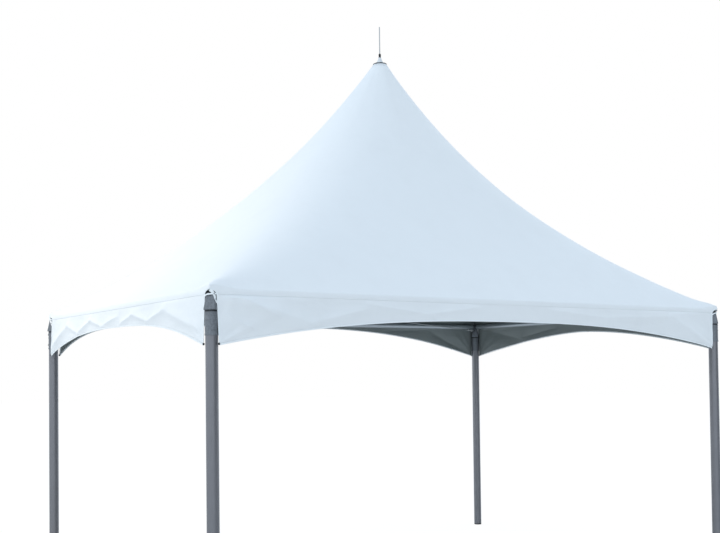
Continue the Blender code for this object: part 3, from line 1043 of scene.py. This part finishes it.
def build_fitting(corner):
    """Casting of a corner: sleeve, block, rounded head, beam spigots, cable lug and bolts."""
    sign_x, sign_y = CORNERS[corner]
    grey = [fitting_sleeve(corner), fitting_block(corner)]
    for direction in (Vector((-sign_x, 0, 0)), Vector((0, -sign_y, 0))):
        grey += fitting_spigot(corner, direction)
    start, end = cable_line(corner)
    toward = (end - start).normalized()
    grey.append(rod(start + toward * 0.02, start + toward * (LUG_LENGTH - 0.012), 0.009))
    grey.append(eye(start + toward * (LUG_LENGTH - 0.011), toward))
    angle = SLEEVE_BOLTS_ANGLE
    out = diagonal(corner) * math.cos(angle) + sideways(corner) * math.sin(angle)
    for height in SLEEVE_BOLTS_Z:
        grey.append(hex_bolt(corner_point(corner, height) + out * 0.0394, out, 0.010, 0.0036))
    dark = [marked(bm, 1) for bm in fitting_head(corner)]
    return piece(f"fitting_{corner}", joined(grey + dark), ("casting", "head"),
                 [f"corner_fitting_{corner}"])


def eye(centre, toward):
    """An upright flat ring at the end of a lug, with its pin."""
    hole, rim, half = 0.0048, 0.0105, 0.003
    ring = turned(rounded([(hole, -half), (rim, -half), (rim, half), (hole, half)], 0.0008), 32)
    across = Vector(toward).cross(Vector((0, 0, 1))).normalized()
    pin = rod(centre - across * 0.010, centre + across * 0.010, 0.0042)
    return joined([lay_along(ring, centre, centre + across), pin])


def cable_line(corner):
    """Where a tie cable's line starts at a corner's axis and ends at the mast's axis."""
    return corner_point(corner, LUG_Z), Vector((0, 0, HUB_LUG_Z))


def along_cable(corner, distance):
    start, end = cable_line(corner)
    return start + (end - start).normalized() * distance


def thread(reach, low, high, pitch=0.0022):
    """Profile of a threaded rod: a row of ridges."""
    profile = [(0, low)]
    for step in range(int((high - low) / pitch)):
        base = low + step * pitch
        profile += [(reach - 0.0009, base), (reach, base + pitch / 2)]
    return profile + [(reach - 0.0009, high), (0, high)]


def build_turnbuckle(corner):
    """Open rigging screw: two bars between two bosses, threaded studs, a fork and a ferrule."""
    start = along_cable(corner, LUG_LENGTH + 0.0003)
    length = TURNBUCKLE_LENGTH
    boss = [(0, 0), (0.0085, 0), (0.0115, 0.003), (0.0115, 0.013), (0.0085, 0.016), (0, 0.016)]
    shapes = [moved(turned(rounded(boss, 0.001), 32), (0, 0, height)) for height in (0.060, length - 0.076)]
    for offset in (-0.0082, 0.0082):
        shapes.append(rod((offset, 0, 0.068), (offset, 0, length - 0.068), 0.0033))
    shapes.append(turned(thread(0.0048, 0.022, 0.096), 20))
    shapes.append(turned(thread(0.0048, length - 0.096, length - 0.022), 20))
    yoke = [(0, 0.006), (0.0064, 0.006), (0.0064, 0.022), (0.0050, 0.026), (0, 0.026)]
    shapes.append(turned(rounded(yoke), 32))
    for offset in (-0.0075, 0.0075):
        shapes.append(rod((0, offset, 0), (0, offset * 0.6, 0.016), 0.0030))
    ferrule = [(0, length - 0.026), (0.0056, length - 0.026), (0.0062, length - 0.020), (0.0062, length),
               (0, length)]
    shapes.append(turned(rounded(ferrule, 0.001), 32))
    bm = lay_along(joined(shapes), start, cable_line(corner)[1])
    return piece(f"rigging_screw_{corner}", bm, ("steel",), [f"turnbuckle_{corner}"])


def build_cable(corner):
    """Six-strand wire rope, pulled straight from the rigging screw to the mast's foot."""
    line = cable_line(corner)
    length = (line[1] - line[0]).length
    start = along_cable(corner, LUG_LENGTH + TURNBUCKLE_LENGTH + 0.0006)
    end = along_cable(corner, length - HUB_LUG_LENGTH - 0.0003)
    lay, strands, steps_a_turn = CABLE_LAY, CABLE_STRANDS, 10
    toward = (end - start).normalized()
    across = toward.cross(Vector((0, 0, 1))).normalized()
    up = across.cross(toward)
    count = round((end - start).length / lay * steps_a_turn)
    stations = []
    for step in range(count + 1):
        distance = (end - start).length * step / count
        turn = distance / lay * math.tau
        stations.append((start + toward * distance, across * math.cos(turn) + up * math.sin(turn),
                         up * math.cos(turn) - across * math.sin(turn)))
    section = []
    for step in range(strands * 4):
        angle = math.tau * step / (strands * 4)
        reach = CABLE_R * (0.90 + 0.10 * math.cos(strands * angle))
        section.append((reach * math.cos(angle), reach * math.sin(angle)))
    ferrule = rounded([(0, 0), (0.0056, 0), (0.0062, 0.004), (0.0062, 0.030), (0.0050, FERRULE_LENGTH),
                       (0, FERRULE_LENGTH)], 0.001)
    shapes = [loft(stations, section), lay_along(turned(ferrule, 32), end - toward * FERRULE_LENGTH, end)]
    return piece(f"cable_{corner}", joined(shapes), ("steel",), [f"tie_cable_{corner}"], crease=60)


def build_beam(side):
    half, reach = side_sizes(side)
    length = half - BEAM_GAP
    start = turn_to_side(side, (-length, -reach, BEAM_Z))
    end = turn_to_side(side, (length, -reach, BEAM_Z))
    finish = "beam_x" if SIDES[side] % 2 == 0 else "beam_y"
    return piece(f"beam_{side}", tube(start, end, BEAM_R), (finish,), [f"eave_beam_{side}"])


def build_mast():
    bm = tube((0, 0, MAST_LOW_Z), (0, 0, MAST_TOP_Z), MAST_R)
    return piece("mast_tube", bm, ("mast",), ["mast"])


def build_mast_foot():
    """The cup that holds the mast, with an eye towards each corner."""
    stem = MAST_R - WALL - 0.0004
    top = MAST_LOW_Z - 0.0003
    cup = [(0, HUB_LOW_Z), (0.028, HUB_LOW_Z), (0.038, HUB_LOW_Z + 0.010), (0.038, top - 0.004),
           (0.036, top), (stem, top), (stem, top + 0.066), (0, top + 0.066)]
    shapes = [turned(rounded(cup, 0.002))]
    for corner in CORNERS:
        start, end = cable_line(corner)
        back = (start - end).normalized()
        shapes.append(rod(end + back * 0.02, end + back * (HUB_LUG_LENGTH - 0.012), 0.009))
        shapes.append(eye(end + back * (HUB_LUG_LENGTH - 0.011), back))
    shapes.append(hex_bolt((0, -0.0378, HUB_LOW_Z + 0.020), (0, -1, 0), 0.010, 0.004))
    return piece("mast_foot", joined(shapes), ("casting",), ["mast_hub"])


def build_crown():
    """The flared plug that carries the peak of the fabric."""
    stem = MAST_R - WALL - 0.0004
    low = MAST_TOP_Z
    rim = RING_R - 0.001
    profile = [(0, low - 0.060), (stem, low - 0.060), (stem, low + 0.0003), (0.036, low + 0.0003),
               (0.036, low + 0.020), (rim, CROWN_TOP_Z - 0.008), (rim, CROWN_TOP_Z), (0, CROWN_TOP_Z)]
    return piece("crown_plug", turned(rounded(profile, 0.002), 64), ("casting",), ["mast_crown"])


def build_clamp():
    """The ring that clamps the fabric's peak, with its screws."""
    low = RING_TOP_Z - CLAMP_DEPTH
    ring = [(0, low), (RING_R, low), (RING_R, RING_TOP_Z - 0.002), (RING_R - 0.004, RING_TOP_Z),
            (0, RING_TOP_Z)]
    shapes = [turned(rounded(ring, 0.0012), 64)]
    for step in range(CLAMP_SCREWS):
        angle = math.tau * (step + 0.5) / CLAMP_SCREWS
        place = (SCREW_CIRCLE_R * math.cos(angle), SCREW_CIRCLE_R * math.sin(angle), RING_TOP_Z - 0.0003)
        shapes.append(hex_bolt(place, (0, 0, 1), CLAMP_SCREW, 0.0034))
    return piece("peak_clamp", joined(shapes), ("head",), ["peak_ring"])


def build_finial():
    """A pale cone, a dark nut and a thin rod."""
    base = RING_TOP_Z + 0.0003
    cone = [(0, base), (CONE_R, base), (0.0315, base + 0.006), (0.024, base + 0.020),
            (0.016, base + 0.038), (0.011, CONE_TOP_Z), (0, CONE_TOP_Z)]
    piece("finial_base", turned(rounded(cone, 0.003), 48), ("pale",), ["finial_cone"])
    base = CONE_TOP_Z + 0.0003
    groove = NUT_R - 0.0014
    nut = [(0, base), (NUT_R, base), (NUT_R, base + 0.008), (groove, base + 0.010), (groove, base + 0.014),
           (NUT_R, base + 0.016), (NUT_R, base + 0.026), (0.0060, COLLAR_TOP_Z), (0, COLLAR_TOP_Z)]
    piece("finial_nut", turned(rounded(nut, 0.0008), 32), ("head",), ["finial_collar"])
    spike = rod((0, 0, COLLAR_TOP_Z + 0.0003), (0, 0, ROD_TOP_Z), SPIKE_R, 24, 0.003)
    piece("finial_spike", spike, ("steel",), ["finial_rod"])


def build_world(scene, stage):
    """Bluish light all round, brightest near the horizon, with plain white behind the tent."""
    world = bpy.data.worlds.new("studio")
    scene.world = world
    world.use_nodes = True
    graph = Graph(world.node_tree)
    direction = graph.node("TexCoord", output="Generated")
    upwards = graph.node("SeparateXYZ", {"Vector": direction}, output="Z")
    light = graph.mix((upwards * 1.2).clamped(), stage.sky_level, stage.sky_top)
    # A dark card to the right of the camera gives the tubes their dark edge
    card = tuple(math.cos(angle) for angle in (stage.card_bearing, stage.card_bearing - math.pi / 2))
    facing = graph.node("VectorMath", {0: direction, 1: (*card, 0.0)}, output="Value",
                        operation="DOT_PRODUCT")
    light = graph.mix(((facing - CARD_EDGE) * 8.0).clamped(), light, tinted(stage.sky_level, CARD_SHARE))
    seen = graph.node("LightPath", output="Is Camera Ray")
    colour = graph.mix(seen, light, (1.0, 1.0, 1.0))
    feed(world.node_tree, world.node_tree.nodes["Background"].inputs["Color"], colour)


def build_floor(scene):
    """A pale floor that runs into the white behind it and throws back a soft grey light."""
    bm = bmesh.new()
    bmesh.ops.create_circle(bm, cap_ends=True, radius=60.0, segments=96)
    mesh = bpy.data.meshes.new("floor")
    bm.to_mesh(mesh)
    bm.free()
    finish = Finish("pale_floor", Roughness=0.9)
    finish.set("Base Color", FLOOR_COLOUR)
    glow = finish.node("Emission", {"Color": (1.0, 1.0, 1.0), "Strength": FLOOR_GLOW})
    seen = finish.node("LightPath", output="Is Camera Ray")
    surface = Value(finish.tree, finish.shader.outputs[0])
    mixed = finish.node("MixShader", {0: seen * 0.88, 1: surface, 2: glow})
    feed(finish.tree, finish.tree.nodes["Material Output"].inputs["Surface"], mixed)
    mesh.materials.append(finish.material)
    floor = bpy.data.objects.new("floor", mesh)
    floor.location.z = -0.001
    scene.collection.objects.link(floor)


def build_lights(scene, stage):
    """A softbox over the left side, facing down."""
    lamp = bpy.data.lights.new("softbox", "AREA")
    lamp.energy = stage.softbox
    lamp.size = SOFTBOX_SIZE
    lamp.color = SOFTBOX_COLOUR
    softbox = bpy.data.objects.new("softbox", lamp)
    softbox.location = SOFTBOX_PLACE
    softbox.visible_camera = False
    scene.collection.objects.link(softbox)


def build_camera(scene, stage):
    """The camera's place and lean, as the perspective of the picture gives them."""
    bearing = stage.eye_bearing
    eye_place = Vector((stage.eye_distance * math.cos(bearing), stage.eye_distance * math.sin(bearing),
                        stage.eye_height))
    yaw = bearing + math.pi + EYE_YAW
    level = Vector((math.cos(yaw), math.sin(yaw), 0))
    forward = level * math.cos(EYE_PITCH) + Vector((0, 0, math.sin(EYE_PITCH)))
    right = forward.cross(Vector((0, 0, 1))).normalized()
    up = right.cross(forward)
    leaning_right = right * math.cos(EYE_ROLL) + up * math.sin(EYE_ROLL)
    leaning_up = up * math.cos(EYE_ROLL) - right * math.sin(EYE_ROLL)
    lens = bpy.data.cameras.new("camera")
    lens.lens = stage.lens
    lens.sensor_width = SENSOR_WIDTH
    lens.shift_y = LENS_SHIFT
    camera = bpy.data.objects.new("camera", lens)
    turn = Matrix((leaning_right, leaning_up, -forward)).transposed().to_4x4()
    camera.matrix_world = Matrix.Translation(eye_place) @ turn
    scene.collection.objects.link(camera)
    scene.camera = camera


class MARQUEE_OT_roof(bpy.types.Operator):
    """Stretch the roof skin from the peak ring over the beams"""

    bl_idname = "marquee.roof"
    bl_label = "Roof"

    def execute(self, context):
        build_roof(context.scene.marquee_fabric)
        return {"FINISHED"}


class MARQUEE_OT_valances(bpy.types.Operator):
    """Hang the four valances with their hem bindings"""

    bl_idname = "marquee.valances"
    bl_label = "Valances"

    def execute(self, context):
        for side in SIDES:
            build_valance(side, context.scene.marquee_fabric)
        return {"FINISHED"}


class MARQUEE_OT_corner_trim(bpy.types.Operator):
    """Bind the corner openings and add their straps, rivets and toggles"""

    bl_idname = "marquee.corner_trim"
    bl_label = "Corner trim"

    def execute(self, context):
        for corner in CORNERS:
            build_corner_trim(corner, context.scene.marquee_fabric)
        return {"FINISHED"}


class MARQUEE_OT_legs(bpy.types.Operator):
    """Stand the four leg tubes on their feet"""

    bl_idname = "marquee.legs"
    bl_label = "Legs"

    def execute(self, context):
        for corner in CORNERS:
            build_leg(corner)
            build_foot(corner)
        return {"FINISHED"}


class MARQUEE_OT_fittings(bpy.types.Operator):
    """Cast the four corner fittings"""

    bl_idname = "marquee.fittings"
    bl_label = "Corner fittings"

    def execute(self, context):
        for corner in CORNERS:
            build_fitting(corner)
        return {"FINISHED"}


class MARQUEE_OT_beams(bpy.types.Operator):
    """Lay the four eave beams between the fittings"""

    bl_idname = "marquee.beams"
    bl_label = "Eave beams"

    def execute(self, context):
        for side in SIDES:
            build_beam(side)
        return {"FINISHED"}


class MARQUEE_OT_cables(bpy.types.Operator):
    """Tighten the four tie cables with their rigging screws"""

    bl_idname = "marquee.cables"
    bl_label = "Tie cables"

    def execute(self, context):
        for corner in CORNERS:
            build_turnbuckle(corner)
            build_cable(corner)
        return {"FINISHED"}


class MARQUEE_OT_mast(bpy.types.Operator):
    """Set the mast between its foot and its crown"""

    bl_idname = "marquee.mast"
    bl_label = "Mast"

    def execute(self, context):
        build_mast_foot()
        build_mast()
        build_crown()
        return {"FINISHED"}


class MARQUEE_OT_peak(bpy.types.Operator):
    """Clamp the peak and set the finial on it"""

    bl_idname = "marquee.peak"
    bl_label = "Peak"

    def execute(self, context):
        build_clamp()
        build_finial()
        return {"FINISHED"}


class MARQUEE_OT_stage(bpy.types.Operator):
    """Lay the pale floor and set the lights and the camera"""

    bl_idname = "marquee.stage"
    bl_label = "Stage"

    def execute(self, context):
        scene = context.scene
        scene.view_settings.view_transform = "Standard"
        build_floor(scene)
        build_world(scene, scene.marquee_stage)
        build_lights(scene, scene.marquee_stage)
        build_camera(scene, scene.marquee_stage)
        return {"FINISHED"}


OPERATORS = (
    MARQUEE_OT_roof, MARQUEE_OT_valances, MARQUEE_OT_corner_trim, MARQUEE_OT_legs, MARQUEE_OT_fittings,
    MARQUEE_OT_beams, MARQUEE_OT_cables, MARQUEE_OT_mast, MARQUEE_OT_peak, MARQUEE_OT_stage,
)
SETTINGS = {"marquee_look": MarqueeLook, "marquee_fabric": MarqueeFabric, "marquee_stage": MarqueeStage}


class MARQUEE_PT_pieces(bpy.types.Panel):
    """Lists the marquee's settings and the operators that build it"""

    bl_label = "Marquee"
    bl_space_type = "VIEW_3D"
    bl_region_type = "UI"
    bl_category = "Marquee"

    def draw(self, context):
        for group, settings in SETTINGS.items():
            box = self.layout.box()
            for name in settings.__annotations__:
                box.prop(getattr(context.scene, group), name)
        for operator in OPERATORS:
            self.layout.operator(operator.bl_idname)


CLASSES = (*SETTINGS.values(), *OPERATORS, MARQUEE_PT_pieces)


def register():
    for cls in CLASSES:
        bpy.utils.register_class(cls)
    for group, settings in SETTINGS.items():
        setattr(bpy.types.Scene, group, PointerProperty(type=settings))


def unregister():
    for group in SETTINGS:
        delattr(bpy.types.Scene, group)
    for cls in reversed(CLASSES):
        bpy.utils.unregister_class(cls)


def main():
    """Build every group in order."""
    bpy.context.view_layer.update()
    register()
    bpy.ops.marquee.roof()
    bpy.ops.marquee.valances()
    bpy.ops.marquee.corner_trim()
    bpy.ops.marquee.legs()
    bpy.ops.marquee.fittings()
    bpy.ops.marquee.beams()
    bpy.ops.marquee.cables()
    bpy.ops.marquee.mast()
    bpy.ops.marquee.peak()
    bpy.ops.marquee.stage()


if __name__ == "__main__":
    main()
